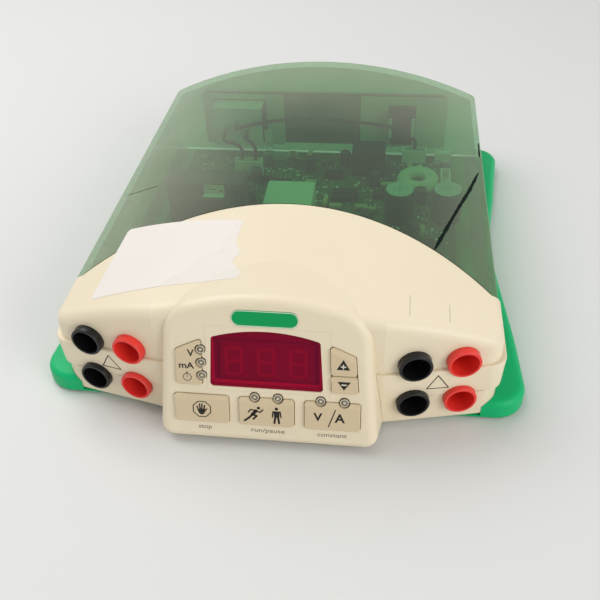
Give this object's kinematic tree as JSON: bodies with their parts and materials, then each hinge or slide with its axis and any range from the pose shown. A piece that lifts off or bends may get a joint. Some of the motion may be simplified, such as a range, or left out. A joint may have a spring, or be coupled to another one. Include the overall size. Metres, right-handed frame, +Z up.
{
  "type": "electrophoresis power supply",
  "caption": "Low bench power supply with a tilted display console, shrouded output sockets, press keys and a smoked vaulted cover on a flared tray.",
  "frame": {"origin": "middle of the bounding box at the underside of the feet", "axes": "+X to the viewer's right, -Y towards the user and the keys, +Z up"},
  "size_m": [0.21, 0.2451, 0.0652],
  "materials": {
    "moulding": "fine texture",
    "key": "satin",
    "tray": "satin",
    "smoked_cover": "polished, translucent green",
    "window": "polished, tinted red",
    "digits": "satin",
    "badge": "gloss",
    "socket_black": "gloss",
    "socket_red": "gloss",
    "contact": "plated",
    "lamp": "clear lens",
    "control_board": "solder mask",
    "main_board": "solder mask",
    "switch": "moulded",
    "screw": "zinc",
    "rubber": "matte",
    "rear_panel": "fine texture",
    "inlet": "moulded",
    "pin": "plated",
    "rocker": "gloss",
    "core": "laminated",
    "winding": "taped",
    "duct": "moulded",
    "capacitor": "sleeved",
    "choke": "wound",
    "heat_sink": "extruded",
    "package": "moulded",
    "relay": "moulded",
    "fuse": "clear",
    "clip": "plated",
    "resistor": "coated",
    "connector": "moulded",
    "ribbon": "flexible",
    "lead": "insulated"
  },
  "bodies": {
    "case": {"front_hood": "moulding", "left_band": "moulding", "right_band": "moulding", "left_sill": "moulding", "right_sill": "moulding", "base_tray": "tray", "rubber_feet": "rubber", "top_cover": "smoked_cover", "display_window": "window", "display_digits": "digits", "badge": "badge", "run_lamps": "lamp", "constant_lamps": "lamp", "mode_lamps": "lamp", "control_board": "control_board", "tact_switches": "switch", "console_screws": "screw", "left_outer_upper_socket": "socket_black", "left_outer_lower_socket": "socket_black", "left_inner_upper_socket": "socket_red", "left_inner_lower_socket": "socket_red", "right_inner_upper_socket": "socket_black", "right_inner_lower_socket": "socket_black", "right_outer_upper_socket": "socket_red", "right_outer_lower_socket": "socket_red", "socket_contacts": "contact", "socket_nuts": "switch", "rear_panel": "rear_panel", "mains_inlet": "inlet", "inlet_pins": "pin", "rocker_frame": "inlet", "main_board": "main_board", "board_screws": "screw", "transformer_core": "core", "transformer_winding": "winding", "transformer_base": "package", "air_duct": "duct", "filter_capacitors": "capacitor", "toroid_choke": "choke", "heat_sink": "heat_sink", "power_transistors": "package", "relay": "relay", "fuse": "fuse", "fuse_clips": "clip", "chips": "package", "small_capacitors": "capacitor", "resistors": "resistor", "connectors": "connector", "ribbon_lead": "ribbon", "ribbon_header": "connector", "mains_leads": "lead"},
    "stop_key": {"stop_key": "key"},
    "run_key": {"run_key": "key"},
    "constant_key": {"constant_key": "key"},
    "mode_key": {"mode_key": "key"},
    "plus_key": {"plus_key": "key"},
    "minus_key": {"minus_key": "key"},
    "power_rocker": {"power_rocker": "rocker"}
  },
  "joints": [
    {"name": "stop_key_press", "type": "slide", "parent": "case", "child": "stop_key", "axis": [0, 0.9655, -0.2605], "range_m": [0, 0.0008], "stiffness_N_per_m": 1500},
    {"name": "run_key_press", "type": "slide", "parent": "case", "child": "run_key", "axis": [0, 0.9655, -0.2605], "range_m": [0, 0.0008], "stiffness_N_per_m": 1500},
    {"name": "constant_key_press", "type": "slide", "parent": "case", "child": "constant_key", "axis": [0, 0.9655, -0.2605], "range_m": [0, 0.0008], "stiffness_N_per_m": 1500},
    {"name": "mode_key_press", "type": "slide", "parent": "case", "child": "mode_key", "axis": [0, 0.9655, -0.2605], "range_m": [0, 0.0008], "stiffness_N_per_m": 1500},
    {"name": "plus_key_press", "type": "slide", "parent": "case", "child": "plus_key", "axis": [0, 0.9655, -0.2605], "range_m": [0, 0.0008], "stiffness_N_per_m": 1500},
    {"name": "minus_key_press", "type": "slide", "parent": "case", "child": "minus_key", "axis": [0, 0.9655, -0.2605], "range_m": [0, 0.0008], "stiffness_N_per_m": 1500},
    {"name": "power_rocker_hinge", "type": "hinge", "parent": "case", "child": "power_rocker", "pos_m": [0.048, 0.1186, 0.0245], "axis": [-1, 0, 0], "range_deg": [0, 16]}
  ]
}
